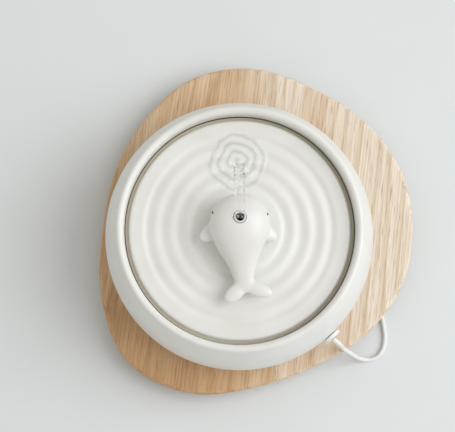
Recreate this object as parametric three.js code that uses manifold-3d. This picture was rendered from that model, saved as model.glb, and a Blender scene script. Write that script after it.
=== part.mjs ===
// Table fountain with a submersible pump: a ceramic bowl on a wooden board, a rippled plate that
// carries a hollow whale, and a small USB pump that stands in the bowl's water under the plate.
// Millimetres, +Z up. The origin is on the table, under the centre of the board.

import * as THREE from 'three';
import { mergeVertices } from 'three/addons/utils/BufferGeometryUtils.js';
import { ParametricGeometry } from 'three/addons/geometries/ParametricGeometry.js';
import { RoundedBoxGeometry } from 'three/addons/geometries/RoundedBoxGeometry.js';
import Module from 'manifold-3d';

const wasm = await Module();
wasm.setup();

// ---------------------------------------------------------------- driving dimensions

const GAP = 0.3;                     // between pieces that lie against each other
const RUNNING = 0.1;                 // radial clearance of the rotor on its shaft

const FOOT_HEIGHT = 10;
const FOOT_RADIUS = 10;
const FOOT_PLACES = [[72, 72], [-74, 74], [-88, -88], [58, -84]];

const BOARD_THICKNESS = 15;
const BOARD_TOP = FOOT_HEIGHT + BOARD_THICKNESS;
const BOARD_EDGE = 2.5;              // radius of the rounded edge
// The pebble outline, anticlockwise from +X.
const BOARD_OUTLINE = [
  [127, 0], [118, 49], [89, 89], [48, 116], [0, 133], [-52, 125], [-91, 91], [-115, 48],
  [-125, 0], [-126, -52], [-106, -106], [-55, -133], [0, -128], [46, -112], [87, -87], [117, -48],
];

const BOWL_CENTRE = [-14.2, -10.1];  // the bowl stands off the board's centre
const BOWL_RADIUS = 105;
const BOWL_WALL = 7;
const BOWL_TOP = BOARD_TOP + 78;
const BOWL_FLOOR = BOARD_TOP + 10;
const RIM_INNER_RADIUS = 87.3;
const FOOT_RING = [74, 82];

const PLATE_RADIUS = 83.9;
const FLANGE_RADIUS = 86.5;          // a thin flange under the disc keeps it centred in the rim
const FLANGE_THICKNESS = 1.8;
const PLATE_TOP = BOARD_TOP + 69;
const PLATE_THICKNESS = 5;
const PLATE_EDGE = 3.2;
const RIPPLE_PITCH = 11.8;
const RIPPLE_FIRST = 34.5;           // radius of the innermost ripple's valley
const RIPPLE_COUNT = 3;
const RIPPLE_HEIGHT = 0.6;
const WHALE_HOLE = [0, 5];           // the blowhole, from the bowl's axis

const STAND_RADIUS = 53;
const STAND_POSTS = 6;
const STAND_TOP = PLATE_TOP - PLATE_THICKNESS - 2;
const PAD_HEIGHT = 2;

const GLAND_ANGLE = THREE.MathUtils.degToRad(-47.8);
const GLAND_HEIGHT = 50;
const GLAND_FLANGE = 8;
const GLAND_FACE = BOWL_RADIUS + 3.5; // outer face, from the bowl's axis

const CORD_RADIUS = 1.75;
const CORD_SIDES = 8;
const COIL_CENTRE = [60, -30];
const COIL_INNER = 12.9;             // centreline radius of the innermost turn
const COIL_PITCH = 3.6;
const COIL_TURNS = 4.5;              // turns in each of the two layers
const COIL_BOTTOM = 0.9;
const COIL_TOP = COIL_BOTTOM + 4 * CORD_RADIUS + 0.05;
const TIE_THICKNESS = 0.6;
const TIE_WIDTH = 6;
const TIE_ANGLE = THREE.MathUtils.degToRad(205);

const PUMP_AXIS_HEIGHT = 56;
const PUMP_WIDTH = 40;
const PUMP_HEIGHT = 32;
const PUMP_WALL = 2;
const PUMP_BACK = -34;
const PUMP_FRONT = -2;
const WELL_RADIUS = 6.2;
const WELL_BACK = -26.9;
const MAGNET_RADIUS = 5.6;
const SHAFT_RADIUS = 1;
const CHAMBER_RADIUS = 9.6;
const CHAMBER_FRONT = 8;
const COVER_RADIUS = 12.4;
const PIPE_RADIUS = 2.9;
const HOSE_RADIUS = 4.6;
const HOSE_BORE = 3.2;
const LEAD_PORT = [8, 62];           // x and z of the lead's way into the pump

// The cord's free run, from the gland over the board's edge and round to the coil.
const CORD_RUN = [
  [59.1, -90.8, 50], [61.8, -92.9, 49.3], [64.3, -94.6, 46.4], [65.9, -95.7, 41.5], [67, -96.4, 36],
  [68.7, -97.5, 31], [71.6, -99.1, 26.9], [76.2, -101.6, 21], [81, -103.8, 13], [85.4, -105, 6],
  [90.8, -105.6, 2.1], [96.6, -104.6, 1.75], [101.4, -101.1, 1.75], [104.5, -95.2, 1.75],
  [105.7, -88, 1.75], [105.2, -80.6, 1.75], [103.9, -73.6, 1.75], [101.7, -65.5, 1.75],
  [98.2, -56.5, 1.75], [94.1, -48.3, 1.9], [91.3, -41.5, 2.2],
];

// The cord's end, from the coil's upper layer down to the plug.
const CORD_TAIL = [
  [86.9, -10.6, 4], [84.2, -4, 2.6], [79, 3.8, 1.9], [72, 9.4, 2.1], [64.5, 11.8, 3.2],
  [58.3, 12, 3.8],
];
const PLUG_REAR = [58, 12];

// ---------------------------------------------------------------- materials

function finish(color, roughness, metalness = 0) {
  return new THREE.MeshStandardMaterial({ color, roughness, metalness });
}

const FINISHES = {
  glazedCeramic: finish('#e2e1dc', 0.42),
  oiledAsh: finish('#cfb08c', 0.55),
  blackRubber: finish('#3a3a3a', 0.85),
  steel: finish('#b8b8ba', 0.3, 1),
  whiteAbs: finish('#e9ebea', 0.4),
  whiteCord: finish('#e6e7e8', 0.5),
  whiteSilicone: finish('#dfe2e2', 0.6),
  clearTube: finish('#d6dcda', 0.1),
  pumpPlastic: finish('#2b2d30', 0.45),
  copper: finish('#b8734a', 0.35, 1),
  lamination: finish('#8b8d90', 0.4, 1),
  ferrite: finish('#3c3d40', 0.6),
  circuitBoard: finish('#2f6b46', 0.5),
  foam: finish('#3b4148', 0.95),
};

// ---------------------------------------------------------------- shape helpers

// A closed geometry as a solid: only its welded positions are kept.
function solid(geometry) {
  const bare = geometry.clone();
  bare.deleteAttribute('normal');
  bare.deleteAttribute('uv');
  const welded = mergeVertices(bare, 1e-4);
  return new wasm.Manifold(new wasm.Mesh({
    numProp: 3,
    vertProperties: welded.attributes.position.array,
    triVerts: new Uint32Array(welded.index.array),
  }));
}

function surface(body) {
  const mesh = body.getMesh();
  const geometry = new THREE.BufferGeometry();
  geometry.setAttribute('position', new THREE.BufferAttribute(mesh.vertProperties, 3));
  geometry.setIndex(new THREE.BufferAttribute(mesh.triVerts, 1));
  geometry.computeVertexNormals();
  return geometry;
}

// The same geometry with its faces turned outwards.
function facingOut(geometry) {
  if (solid(geometry).volume() > 0) return geometry;
  const index = geometry.index ?? new THREE.BufferAttribute(
    Uint32Array.from({ length: geometry.attributes.position.count }, (_, i) => i), 1);
  for (let i = 0; i < index.count; i += 3) {
    const first = index.getX(i);
    index.setX(i, index.getX(i + 1));
    index.setX(i + 1, first);
  }
  geometry.setIndex(index);
  return geometry;
}

function join(...geometries) {
  return surface(geometries.map(solid).reduce((whole, piece) => whole.add(piece)));
}

function cut(base, ...tools) {
  return surface(tools.map(solid).reduce((whole, tool) => whole.subtract(tool), solid(base)));
}

function block([x0, x1], [y0, y1], [z0, z1]) {
  const box = new THREE.BoxGeometry(x1 - x0, y1 - y0, z1 - z0);
  return box.translate((x0 + x1) / 2, (y0 + y1) / 2, (z0 + z1) / 2);
}

function roundedBlock([x0, x1], [y0, y1], [z0, z1], radius) {
  const box = new RoundedBoxGeometry(x1 - x0, y1 - y0, z1 - z0, 1, radius);
  return box.translate((x0 + x1) / 2, (y0 + y1) / 2, (z0 + z1) / 2);
}

// A profile of [radius, height] points turned about +Z. It starts and ends on the axis, or closes.
function turned(profile, sides) {
  const points = profile.map(([r, z]) => new THREE.Vector2(r, z));
  return facingOut(new THREE.LatheGeometry(points, sides).rotateX(Math.PI / 2));
}

// A ring with a bore, turned about +Z: the profile closes on itself.
function ring(profile, sides) {
  return turned([...profile, profile[0]], sides);
}

function upright(radius, [z0, z1], [x, y], sides) {
  const rod = new THREE.CylinderGeometry(radius, radius, z1 - z0, sides).rotateX(Math.PI / 2);
  return rod.translate(x, y, (z0 + z1) / 2);
}

// A rod along Y.
function lying(radius, [y0, y1], [x, z], sides) {
  const rod = new THREE.CylinderGeometry(radius, radius, y1 - y0, sides);
  return rod.translate(x, (y0 + y1) / 2, z);
}

// A ring turned about the pump's axis, which runs along Y; heights of the profile become Y.
function turnedOnPumpAxis(profile, sides) {
  return facingOut(ring(profile, sides).rotateX(-Math.PI / 2).translate(0, 0, PUMP_AXIS_HEIGHT));
}

function tube(points, radius, steps) {
  const corners = [];
  for (let i = 0; i < CORD_SIDES; i += 1) {
    const angle = 2 * Math.PI * (i + 0.5) / CORD_SIDES;
    corners.push(new THREE.Vector2(radius * Math.cos(angle), radius * Math.sin(angle)));
  }
  const knots = points.map((point) => new THREE.Vector3(...point));
  const path = new THREE.CatmullRomCurve3(knots, false, 'centripetal');
  return facingOut(new THREE.ExtrudeGeometry(new THREE.Shape(corners), {
    steps,
    extrudePath: path,
    bevelEnabled: false,
  }));
}

// ---------------------------------------------------------------- the tree

const fountain = new THREE.Group();
const bowlGroup = new THREE.Group();
bowlGroup.position.set(...BOWL_CENTRE, 0);
fountain.add(bowlGroup);

function place(parent, name, geometry, material) {
  const mesh = new THREE.Mesh(geometry, material);
  mesh.name = name;
  parent.add(mesh);
  return mesh;
}

// ---------------------------------------------------------------- board and feet

function boardOutline() {
  const corners = BOARD_OUTLINE.map(([x, y]) => new THREE.Vector3(x, y, 0));
  const curve = new THREE.CatmullRomCurve3(corners, true, 'centripetal');
  const points = curve.getSpacedPoints(64).slice(0, -1);
  const box = new THREE.Box3().setFromPoints(points);
  const middle = box.getCenter(new THREE.Vector3());
  return points.map((p) => new THREE.Vector2(p.x - middle.x, p.y - middle.y));
}

const SCREW_RADIUS = 1.5;
const SCREW_HEAD_RADIUS = 3.4;

function board() {
  const slab = new THREE.ExtrudeGeometry(new THREE.Shape(boardOutline()), {
    depth: BOARD_THICKNESS - 2 * BOARD_EDGE,
    bevelThickness: BOARD_EDGE,
    bevelSize: BOARD_EDGE,
    bevelOffset: -BOARD_EDGE,
    bevelSegments: 2,
  }).translate(0, 0, FOOT_HEIGHT + BOARD_EDGE);
  const holes = FOOT_PLACES.map(
    (at) => upright(SCREW_RADIUS + GAP, [FOOT_HEIGHT - 1, FOOT_HEIGHT + 10], at, 12));
  return cut(slab, ...holes);
}

// A rubber foot, drilled and counterbored for its screw.
function foot() {
  return ring([
    [SCREW_RADIUS + GAP, FOOT_HEIGHT], [SCREW_RADIUS + GAP, 4], [SCREW_HEAD_RADIUS + 0.6, 4],
    [SCREW_HEAD_RADIUS + 0.6, 0], [FOOT_RADIUS - 1.2, 0], [FOOT_RADIUS - 0.6, 0.8],
    [FOOT_RADIUS, FOOT_HEIGHT],
  ], 18);
}

// A pan head screw with a cross recess, head down.
function footScrew() {
  const body = turned([
    [0, 1.4], [2.4, 1.6], [SCREW_HEAD_RADIUS, 2.6], [SCREW_HEAD_RADIUS, 3.7],
    [SCREW_RADIUS, 3.7], [SCREW_RADIUS, 17], [0, 19],
  ], 12);
  const recess = [
    block([-1.8, 1.8], [-0.35, 0.35], [0, 2.6]),
    block([-0.35, 0.35], [-1.8, 1.8], [0, 2.6]),
  ];
  return cut(body, ...recess);
}

place(fountain, 'board', board(), FINISHES.oiledAsh);
FOOT_PLACES.forEach(([x, y], i) => {
  place(fountain, `foot_${i + 1}`, foot(), FINISHES.blackRubber).position.set(x, y, 0);
  place(fountain, `foot_screw_${i + 1}`, footScrew(), FINISHES.steel).position.set(x, y, 0);
});

// ---------------------------------------------------------------- bowl

// Outer wall from the foot ring over the belly to the rim, then down inside to the floor.
function bowl() {
  const wall = turned([
    [0, BOARD_TOP + 2.5], [FOOT_RING[0] - 2, BOARD_TOP + 2.5], [FOOT_RING[0], BOARD_TOP],
    [FOOT_RING[1], BOARD_TOP], [90, 28.5], [97, 34], [102, 42], [BOWL_RADIUS, 53],
    [104, 66], [101.3, 78], [97.2, 90], [93.3, 99.4], [92, 102], [90, BOWL_TOP], [88.2, 102.3],
    [RIM_INNER_RADIUS, 100.6], [88.4, 94.5], [94.3, 78], [97, 66], [BOWL_RADIUS - BOWL_WALL, 53],
    [95, 42.5], [90, 37], [82, BOWL_FLOOR], [0, BOWL_FLOOR],
  ], 48);
  return cut(wall, onGlandAxis(upright(5.3, [80, 120], [0, 0], 20)));
}

// Turns a piece built about +Z so that it lies on the gland's axis.
function onGlandAxis(geometry) {
  return geometry.rotateY(Math.PI / 2).rotateZ(GLAND_ANGLE).translate(0, 0, GLAND_HEIGHT);
}

place(bowlGroup, 'bowl', bowl(), FINISHES.glazedCeramic);

// ---------------------------------------------------------------- gland and lead

const GLAND_BORE = CORD_RADIUS + 0.45;
const GLAND_TUBE = 4.6;
const GLAND_END = 86;

function glandBody() {
  return ring([
    [GLAND_BORE, GLAND_END], [GLAND_TUBE, GLAND_END], [GLAND_TUBE, GLAND_FACE - 3],
    [GLAND_FLANGE, GLAND_FACE - 3], [GLAND_FLANGE, GLAND_FACE - 0.8],
    [GLAND_FLANGE - 0.8, GLAND_FACE], [GLAND_BORE, GLAND_FACE],
  ], 20);
}

function glandWasher() {
  const bore = GLAND_TUBE + GAP;
  return ring([[bore, 92], [8, 92], [8, 93.6], [bore, 93.6]], 24);
}

function glandNut() {
  const hexagon = upright(8.4, [87.4, 91.7], [0, 0], 6);
  return cut(hexagon, upright(GLAND_TUBE + GAP, [80, 100], [0, 0], 24));
}

place(bowlGroup, 'gland_body', onGlandAxis(glandBody()), FINISHES.whiteAbs);
place(bowlGroup, 'gland_washer', onGlandAxis(glandWasher()), FINISHES.blackRubber);
place(bowlGroup, 'gland_nut', onGlandAxis(glandNut()), FINISHES.pumpPlastic);

// The lead inside the bowl, from the gland's bore to the pump's circuit board.
function innerLead() {
  const along = (s) => [s * Math.cos(GLAND_ANGLE), s * Math.sin(GLAND_ANGLE), GLAND_HEIGHT];
  const [portX, portZ] = LEAD_PORT;
  return tube([
    along(104), along(95), along(86), [50, -56, 48.5], [38, -51.5, 46.5], [26, -51, 48],
    [15, -51.5, 54], [9.3, -48.5, 60], [portX, -43, portZ], [portX, -37, portZ], [portX, -32.95, portZ],
  ], CORD_RADIUS, 26);
}

place(bowlGroup, 'inner_lead', innerLead(), FINISHES.whiteCord);

// ---------------------------------------------------------------- plate stand

// Two rings joined by posts; it stands on the bowl's floor round the pump and carries the plate.
function plateStand() {
  const base = ring([
    [STAND_RADIUS - 3, BOWL_FLOOR + 0.05], [STAND_RADIUS + 3, BOWL_FLOOR + 0.05],
    [STAND_RADIUS + 3, BOWL_FLOOR + 4], [STAND_RADIUS - 3, BOWL_FLOOR + 4],
  ], 36);
  const rim = ring([
    [STAND_RADIUS - 5, STAND_TOP - 3], [STAND_RADIUS + 5, STAND_TOP - 3],
    [STAND_RADIUS + 5, STAND_TOP], [STAND_RADIUS - 5, STAND_TOP],
  ], 36);
  const posts = [];
  for (let i = 0; i < STAND_POSTS; i += 1) {
    const angle = 2 * Math.PI * (i + 0.5) / STAND_POSTS;
    const at = [STAND_RADIUS * Math.cos(angle), STAND_RADIUS * Math.sin(angle)];
    posts.push(upright(2.6, [BOWL_FLOOR + 2, STAND_TOP - 1.5], at, 8));
  }
  return join(base, rim, ...posts);
}

place(bowlGroup, 'plate_stand', plateStand(), FINISHES.whiteAbs);

// ---------------------------------------------------------------- pump

const pump = new THREE.Group();
bowlGroup.add(pump);

const PUMP_X = [-PUMP_WIDTH / 2, PUMP_WIDTH / 2];
const PUMP_Z = [PUMP_AXIS_HEIGHT - PUMP_HEIGHT / 2, PUMP_AXIS_HEIGHT + PUMP_HEIGHT / 2];
const CAVITY_X = [PUMP_X[0] + PUMP_WALL, PUMP_X[1] - PUMP_WALL];
const CAVITY_Z = [PUMP_Z[0] + PUMP_WALL, PUMP_Z[1] - PUMP_WALL];
const AXIS = [0, PUMP_AXIS_HEIGHT];
const CUP_PLACES = [[-14, -29], [14, -29], [-14, -8], [14, -8]];
const BUSH_RADIUS = 2.4;

function inset([low, high], by) {
  return [low + by, high - by];
}

// The motor case: open behind for the coils, with a closed wet well for the rotor in front.
function pumpHousing() {
  const shell = cut(
    roundedBlock(PUMP_X, [PUMP_BACK, PUMP_FRONT], PUMP_Z, 3),
    block(CAVITY_X, [PUMP_BACK - 1, PUMP_FRONT - 4], CAVITY_Z));
  const well = lying(WELL_RADIUS + 1.4, [WELL_BACK - 1.6, PUMP_FRONT - 3], AXIS, 28);
  return cut(
    join(shell, well),
    lying(WELL_RADIUS, [WELL_BACK, PUMP_FRONT + 1], AXIS, 28),
    lying(BUSH_RADIUS + 0.1, [WELL_BACK - 1, WELL_BACK + 1], AXIS, 16),
    ...CUP_PLACES.map((at) => upright(2.3, [PUMP_Z[0] - 1, PUMP_Z[0] + 1.2], at, 12)));
}

// A pole plate round the well, with a leg behind it for each coil.
function statorCore() {
  const legs = [-1, 1].map((side) => block(
    [side * 12.5 - 2, side * 12.5 + 2], [-26.5, -13], [PUMP_AXIS_HEIGHT - 4, PUMP_AXIS_HEIGHT + 4]));
  const plate = block([-16.5, 16.5], [-14.5, -8.5], [PUMP_AXIS_HEIGHT - 9, PUMP_AXIS_HEIGHT + 9]);
  return cut(join(plate, ...legs), lying(WELL_RADIUS + 1.7, [-20, -5], AXIS, 28));
}

function coil(side) {
  const x = side * 12.5;
  return cut(
    block([x - 4.2, x + 4.2], [-26.8, -15], [PUMP_AXIS_HEIGHT - 6.6, PUMP_AXIS_HEIGHT + 6.6]),
    block([x - 2.3, x + 2.3], [-30, -10], [PUMP_AXIS_HEIGHT - 4.3, PUMP_AXIS_HEIGHT + 4.3]));
}

function backCover() {
  const [portX, portZ] = LEAD_PORT;
  const lip = cut(
    block(inset(CAVITY_X, GAP), [PUMP_BACK - 1, PUMP_BACK + 1], inset(CAVITY_Z, GAP)),
    block(inset(CAVITY_X, 1.6), [PUMP_BACK - 2, PUMP_BACK + 2], inset(CAVITY_Z, 1.6)));
  const cover = join(
    roundedBlock(PUMP_X, [PUMP_BACK - 2.4, PUMP_BACK - 0.2], PUMP_Z, 1),
    lip,
    lying(4, [PUMP_BACK - 5.5, PUMP_BACK - 1], LEAD_PORT, 16));
  return cut(cover, lying(CORD_RADIUS + 0.45, [PUMP_BACK - 8, PUMP_BACK + 2], [portX, portZ], 16));
}

function bush([y0, y1]) {
  const bore = SHAFT_RADIUS + 0.06;
  return turnedOnPumpAxis([[bore, y0], [BUSH_RADIUS, y0], [BUSH_RADIUS, y1], [bore, y1]], 16);
}

function rotorMagnet() {
  const bore = SHAFT_RADIUS + RUNNING;
  return turnedOnPumpAxis(
    [[bore, -25.5], [MAGNET_RADIUS, -25.5], [MAGNET_RADIUS, -6.5], [bore, -6.5]], 24);
}

// A hub, a back disc and straight radial blades.
function impeller() {
  const blades = [];
  for (let i = 0; i < 6; i += 1) {
    const blade = block([2, 8.4], [0.4, 5.5], [-0.6, 0.6]);
    blades.push(blade.rotateY(i * Math.PI / 3).translate(0, 0, PUMP_AXIS_HEIGHT));
  }
  const body = join(lying(3, [-6.4, 5.5], AXIS, 24), lying(8.6, [-0.6, 0.6], AXIS, 24), ...blades);
  return cut(body, lying(SHAFT_RADIUS + RUNNING, [-10, 10], AXIS, 24));
}

// The chamber's cover, with the intake holes round the front bush and the outlet pipe on top.
function voluteCover() {
  const back = PUMP_FRONT + 0.2;
  const front = CHAMBER_FRONT + 2.2;
  const flange = roundedBlock(inset(PUMP_X, 1), [back, back + 2.4], inset(PUMP_Z, 1), 1);
  const body = join(
    flange,
    lying(COVER_RADIUS, [back, front], AXIS, 24),
    upright(PIPE_RADIUS, [PUMP_AXIS_HEIGHT + 8, 84], WHALE_HOLE, 16));
  const hollow = cut(body, lying(CHAMBER_RADIUS, [back - 1, CHAMBER_FRONT], AXIS, 24));
  const intakes = [90, 210, 330].map((degrees) => {
    const angle = THREE.MathUtils.degToRad(degrees);
    const at = [6.1 * Math.cos(angle), PUMP_AXIS_HEIGHT + 6.1 * Math.sin(angle)];
    return lying(1.9, [CHAMBER_FRONT - 1, front + 1], at, 12);
  });
  const groove = turnedOnPumpAxis([[10.4, back - 1], [11.8, back - 1], [11.8, -0.5], [10.4, -0.5]], 24);
  return cut(
    join(hollow, lying(3.8, [7, front - 0.5], AXIS, 20)),
    lying(BUSH_RADIUS + 0.1, [6, 9.4], AXIS, 16),
    upright(2, [PUMP_AXIS_HEIGHT + 9, 90], WHALE_HOLE, 16),
    groove,
    ...intakes);
}

function chamberSeal() {
  const torus = new THREE.TorusGeometry(11.1, 0.55, 6, 24).rotateX(Math.PI / 2);
  return torus.translate(0, -1.12, PUMP_AXIS_HEIGHT);
}

const STRAINER_X = [-17, 17];
const STRAINER_Y = [1, 24];
const STRAINER_Z = [41.4, 70.6];
const STRAINER_WALL = 1.8;
const SLIDER_Z = [50, 62];

// A slotted cap that slips over the chamber; its top is notched for the outlet pipe.
function intakeCover() {
  const slots = [];
  for (let x = -12; x <= 12; x += 4) {
    slots.push(block([x - 0.8, x + 0.8], [20, 26], [48, 64]));
  }
  const cap = cut(
    roundedBlock(STRAINER_X, STRAINER_Y, STRAINER_Z, 2),
    block(
      inset(STRAINER_X, STRAINER_WALL), [0, STRAINER_Y[1] - STRAINER_WALL],
      inset(STRAINER_Z, STRAINER_WALL)),
    block([-3.5, 3.5], [0, WHALE_HOLE[1] + 3.7], [60, 72]),
    ...slots);
  const rails = [SLIDER_Z[0] - 1.5, SLIDER_Z[1] + GAP].map(
    (z) => block([-16, 16], [STRAINER_Y[1] - 1, STRAINER_Y[1] + 2.2], [z, z + 1.2]));
  return join(cap, ...rails);
}

function prefilterFoam() {
  return block(
    inset(STRAINER_X, STRAINER_WALL + GAP), [11.5, STRAINER_Y[1] - STRAINER_WALL - GAP],
    inset(STRAINER_Z, STRAINER_WALL + GAP));
}

function flowSlider() {
  const y = STRAINER_Y[1] + GAP;
  return join(
    block([-14, 0], [y, y + 1.4], SLIDER_Z),
    lying(2.5, [y + 1, y + 4.5], [-7, PUMP_AXIS_HEIGHT], 16));
}

function suctionCup() {
  const bottom = BOWL_FLOOR + 0.05;
  return turned([
    [0, bottom + 1.3], [5.2, bottom], [7, bottom], [6, bottom + 1.2], [3, bottom + 2.6],
    [2, bottom + 3.2], [2, PUMP_Z[0] + 0.9], [0, PUMP_Z[0] + 0.9],
  ], 16);
}

function outletHose() {
  const hose = ring([[HOSE_BORE, 73], [HOSE_RADIUS, 73], [HOSE_RADIUS, 125.4], [HOSE_BORE, 125.4]], 18);
  return hose.translate(...WHALE_HOLE, 0);
}

place(pump, 'pump_housing', pumpHousing(), FINISHES.pumpPlastic);
place(pump, 'stator_core', statorCore(), FINISHES.lamination);
place(pump, 'coil_left', coil(-1), FINISHES.copper);
place(pump, 'coil_right', coil(1), FINISHES.copper);
place(pump, 'control_board', block([-14, 14], [-32.6, -31.2], [46, 66]), FINISHES.circuitBoard);
place(pump, 'back_cover', backCover(), FINISHES.pumpPlastic);
place(pump, 'rotor_magnet', rotorMagnet(), FINISHES.ferrite);
place(pump, 'impeller', impeller(), FINISHES.whiteAbs);
place(pump, 'shaft', lying(SHAFT_RADIUS, [-27.6, 9.2], AXIS, 24), FINISHES.steel);
place(pump, 'rear_bush', bush([WELL_BACK - 0.9, WELL_BACK + 1]), FINISHES.blackRubber);
place(pump, 'front_bush', bush([7.1, 9.3]), FINISHES.blackRubber);
place(pump, 'chamber_seal', chamberSeal(), FINISHES.blackRubber);
place(pump, 'volute_cover', voluteCover(), FINISHES.pumpPlastic);
place(pump, 'intake_cover', intakeCover(), FINISHES.pumpPlastic);
place(pump, 'prefilter_foam', prefilterFoam(), FINISHES.foam);
place(pump, 'flow_slider', flowSlider(), FINISHES.whiteAbs);
CUP_PLACES.forEach(([x, y], i) => {
  place(pump, `suction_cup_${i + 1}`, suctionCup(), FINISHES.blackRubber).position.set(x, y, 0);
});
place(pump, 'outlet_hose', outletHose(), FINISHES.clearTube);

// ---------------------------------------------------------------- plate

const PLATE_BOTTOM = PLATE_TOP - PLATE_THICKNESS;

// A flat-bottomed disc with a rounded edge over a thin flange, and three ripples in its top.
function ripplePlate() {
  const rim = [];
  for (let i = 0; i <= 3; i += 1) {
    const angle = Math.PI / 2 * i / 3;
    rim.push([
      PLATE_RADIUS - PLATE_EDGE * (1 - Math.sin(angle)),
      PLATE_TOP - PLATE_EDGE * (1 - Math.cos(angle)),
    ]);
  }
  const ripples = [];
  for (let i = 0; i <= RIPPLE_COUNT; i += 1) {
    const valley = RIPPLE_FIRST + RIPPLE_PITCH * i;
    ripples.push([valley, PLATE_TOP - RIPPLE_HEIGHT]);
    if (i < RIPPLE_COUNT) ripples.push([valley + RIPPLE_PITCH / 2, PLATE_TOP]);
  }
  const disc = turned([
    [0, PLATE_TOP], ...ripples, ...rim, [FLANGE_RADIUS, PLATE_BOTTOM + FLANGE_THICKNESS],
    [FLANGE_RADIUS, PLATE_BOTTOM], [0, PLATE_BOTTOM],
  ], 48);
  return cut(disc, upright(7.2, [PLATE_BOTTOM - 1, PLATE_TOP + 1], WHALE_HOLE, 24));
}

const GROMMET_BORE = HOSE_RADIUS + 0.5;

// The silicone ring that guides the hose through the plate.
function plateGrommet() {
  const grommet = ring([
    [GROMMET_BORE, PLATE_BOTTOM - 1.9], [9, PLATE_BOTTOM - 1.9], [9, PLATE_BOTTOM - 0.1],
    [6.9, PLATE_BOTTOM - 0.1], [6.9, PLATE_TOP], [GROMMET_BORE, PLATE_TOP],
  ], 18);
  return grommet.translate(...WHALE_HOLE, 0);
}

place(bowlGroup, 'ripple_plate', ripplePlate(), FINISHES.glazedCeramic);
place(bowlGroup, 'plate_grommet', plateGrommet(), FINISHES.whiteSilicone);
[90, 210, 330].forEach((degrees, i) => {
  const angle = THREE.MathUtils.degToRad(degrees);
  const at = [STAND_RADIUS * Math.cos(angle), STAND_RADIUS * Math.sin(angle)];
  const pad = upright(4, [PLATE_BOTTOM - PAD_HEIGHT + 0.05, PLATE_BOTTOM - 0.05], at, 16);
  place(bowlGroup, `plate_pad_${i + 1}`, pad, FINISHES.whiteSilicone);
});

// ---------------------------------------------------------------- whale

const WHALE_BASE = PLATE_TOP + GAP;

// Stations from nose to tail: y, x of the middle, half width, underside and top.
const WHALE_STATIONS = [
  [24, 0, 5, 101, 112], [22.5, 0, 11, 98, 116], [18, 0, 16.6, 95, 120.5], [11, 0, 20.6, 93, 123.4],
  [3, 0, 21.6, 93, 124.4], [-5, 0, 20.8, 93, 123.6], [-13, 0.2, 18, 93, 121], [-21, 0.9, 14, 94, 116.8],
  [-29, 1.8, 10.4, 96.5, 112.6], [-37, 3, 8, 99, 109.5], [-45, 4.6, 6.6, 100.6, 107.4],
];

// An oval section at each station, closed at nose and tail.
function whaleBody() {
  const last = WHALE_STATIONS.length - 1;
  const surfacePoint = (u, v, target) => {
    const at = Math.min(Math.max(Math.round(v * (last + 2)) - 1, 0), last);
    const [y, x, half, low, high] = WHALE_STATIONS[at];
    const end = v < 0.001 || v > 0.999;
    const angle = 2 * Math.PI * u;
    const middle = (low + high) / 2;
    const width = end ? 0 : half;
    const height = end ? 0 : (high - low) / 2;
    const nudge = end ? Math.sign(0.5 - v) : 0;
    target.set(x + width * Math.cos(angle), y + nudge, middle + height * Math.sin(angle));
  };
  return facingOut(new ParametricGeometry(surfacePoint, 16, last + 2));
}

// A flattened oval lobe, for fins and flukes.
function lobe([length, width, thickness], [x, y, z], turn, tilt) {
  const ball = new THREE.SphereGeometry(1, 12, 6).scale(length, width, thickness);
  return ball.rotateY(tilt).rotateZ(THREE.MathUtils.degToRad(turn)).translate(x, y, z);
}

function whale() {
  const body = join(
    whaleBody(),
    lobe([12, 6.5, 4], [-20.5, -1.8, 103.5], 28, 0.25),
    lobe([12, 6.5, 4], [19.5, -2.4, 103.5], -28, -0.25),
    lobe([12, 5.6, 3], [-3.2, -49.6, 103.8], 40, 0),
    lobe([12, 5.6, 3], [14.4, -47.2, 103.8], -18, 0));
  return cut(
    body,
    block([-40, 40], [-70, 40], [80, WHALE_BASE]),
    upright(GROMMET_BORE, [90, 130], WHALE_HOLE, 18));
}

place(bowlGroup, 'whale', whale(), FINISHES.glazedCeramic);

// ---------------------------------------------------------------- cord, coil and plug

const COIL_OUTER = COIL_INNER + COIL_PITCH * COIL_TURNS;

function cordCoil() {
  const inner = COIL_INNER - CORD_RADIUS;
  const outer = COIL_OUTER + CORD_RADIUS;
  const band = ring([
    [inner, COIL_BOTTOM], [outer, COIL_BOTTOM], [outer, COIL_TOP], [inner, COIL_TOP],
  ], 40);
  return band.translate(...COIL_CENTRE, 0);
}

// A flat strap once round the coil's section; its inner bar is straight across the coil's round hole.
function cordTie() {
  const halfWidth = TIE_WIDTH / 2;
  const inner = COIL_INNER - CORD_RADIUS - 0.8;
  const outer = COIL_OUTER + CORD_RADIUS + GAP;
  const strap = cut(
    block(
      [inner - TIE_THICKNESS, outer + TIE_THICKNESS], [-halfWidth, halfWidth],
      [COIL_BOTTOM - GAP - TIE_THICKNESS, COIL_TOP + GAP + TIE_THICKNESS]),
    block([inner, outer], [-halfWidth - 1, halfWidth + 1], [COIL_BOTTOM - GAP, COIL_TOP + GAP]));
  return strap.rotateZ(TIE_ANGLE).translate(...COIL_CENTRE, 0);
}

place(fountain, 'cord_run', tube(CORD_RUN, CORD_RADIUS, 44), FINISHES.whiteCord);
place(fountain, 'cord_coil', cordCoil(), FINISHES.whiteCord);
place(fountain, 'cord_tail', tube(CORD_TAIL, CORD_RADIUS, 12), FINISHES.whiteCord);
place(fountain, 'cord_tie', cordTie(), FINISHES.blackRubber);

const PLUG_LENGTH = 27;
const PLUG_WIDTH = 15;
const PLUG_HEIGHT = 7.6;
const SHELL_WIDTH = 12;
const SHELL_HEIGHT = 4.5;
const SHELL_LENGTH = 12;
const SHELL_WALL = 0.4;

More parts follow.
